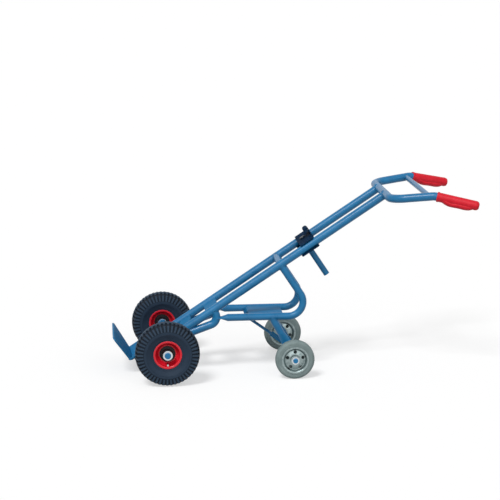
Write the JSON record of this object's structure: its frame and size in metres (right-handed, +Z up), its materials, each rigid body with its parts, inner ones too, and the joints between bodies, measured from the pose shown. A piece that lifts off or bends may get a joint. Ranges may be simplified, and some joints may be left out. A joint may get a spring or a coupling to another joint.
{
  "type": "drum trolley",
  "caption": "Tubular drum trolley leaning on pneumatic and support wheels, with a sliding rim hook, screw clamp, curved toe and bent handle bow.",
  "frame": {"origin": "on the ground under the middle of the overall box", "axes": "+X towards the handle, +Y across the trolley, +Z up"},
  "size_m": [1.4684, 0.6608, 0.766],
  "materials": {
    "frame_blue": "smooth blue powder coat",
    "plug_black": "matt black plastic",
    "zinc": "bright zinc plating",
    "carriage_black": "black coated steel",
    "grip_red": "red moulded plastic",
    "tyre_black": "black rubber",
    "tube_rubber": "black butyl rubber",
    "rim_red": "red painted pressed steel",
    "hub_dark": "dark painted steel",
    "bearing_cage": "machined steel",
    "support_tyre_grey": "grey solid rubber"
  },
  "bodies": {
    "frame": {"axle_loop_left": "frame_blue", "axle_loop_right": "frame_blue", "axle_retaining_rings": "zinc", "axle_sleeves": "frame_blue", "axle_washers": "zinc", "drum_cradle": "frame_blue", "grip_left": "grip_red", "grip_right": "grip_red", "handle_bow": "frame_blue", "handle_crossbar": "frame_blue", "lower_cross_plate": "frame_blue", "main_axle": "frame_blue", "main_tube_left": "frame_blue", "main_tube_right": "frame_blue", "middle_cross_plate": "frame_blue", "step_plate": "frame_blue", "support_axle": "frame_blue", "support_brace": "frame_blue", "support_leg_left": "frame_blue", "support_leg_right": "frame_blue", "support_loop_left": "frame_blue", "support_loop_right": "frame_blue", "support_retaining_rings": "zinc", "support_sleeves": "frame_blue", "support_washers": "zinc", "toe_plate": "frame_blue", "tube_end_plugs": "plug_black", "upper_cross_tube": "frame_blue"},
    "wheel_left": {"tyre_left": "tyre_black", "inner_tube_left": "tube_rubber", "rim_outer_half_left": "rim_red", "rim_inner_half_left": "rim_red", "hub_left": "hub_dark", "hub_bearings_left": "bearing_cage"},
    "wheel_right": {"tyre_right": "tyre_black", "inner_tube_right": "tube_rubber", "rim_outer_half_right": "rim_red", "rim_inner_half_right": "rim_red", "hub_right": "hub_dark", "hub_bearings_right": "bearing_cage"},
    "support_wheel_left": {"support_tyre_left": "support_tyre_grey", "support_rim_band_left": "zinc", "support_discs_left": "zinc", "support_hub_left": "zinc", "support_bearings_left": "bearing_cage"},
    "support_wheel_right": {"support_tyre_right": "support_tyre_grey", "support_rim_band_right": "zinc", "support_discs_right": "zinc", "support_hub_right": "zinc", "support_bearings_right": "bearing_cage"},
    "hook_carriage": {"hook": "carriage_black", "carriage_top_plate": "carriage_black", "slide_plate": "carriage_black", "clamp_stud": "zinc", "clamp_washer": "zinc"},
    "clamp_grip": {"clamp_handle": "frame_blue", "clamp_nut": "zinc"}
  },
  "joints": [
    {"name": "wheel_left_spin", "type": "hinge", "parent": "frame", "child": "wheel_left", "pos_m": [-0.51722, -0.275, 0.13], "axis": [0, 1, 0], "continuous": true},
    {"name": "wheel_right_spin", "type": "hinge", "parent": "frame", "child": "wheel_right", "pos_m": [-0.51722, 0.275, 0.13], "axis": [0, 1, 0], "continuous": true},
    {"name": "support_wheel_left_spin", "type": "hinge", "parent": "frame", "child": "support_wheel_left", "pos_m": [0.00278, -0.23, 0.08], "axis": [0, 1, 0], "continuous": true},
    {"name": "support_wheel_right_spin", "type": "hinge", "parent": "frame", "child": "support_wheel_right", "pos_m": [0.00278, 0.23, 0.08], "axis": [0, 1, 0], "continuous": true},
    {"name": "hook_slide", "type": "slide", "parent": "frame", "child": "hook_carriage", "axis": [0.8348, 0, 0.5505], "range_m": [-0.07, 0.3]},
    {"name": "clamp_turn", "type": "hinge", "parent": "hook_carriage", "child": "clamp_grip", "pos_m": [0.08953, 0, 0.49414], "axis": [0.5505, 0, -0.8348], "range_deg": [0, 360]}
  ]
}
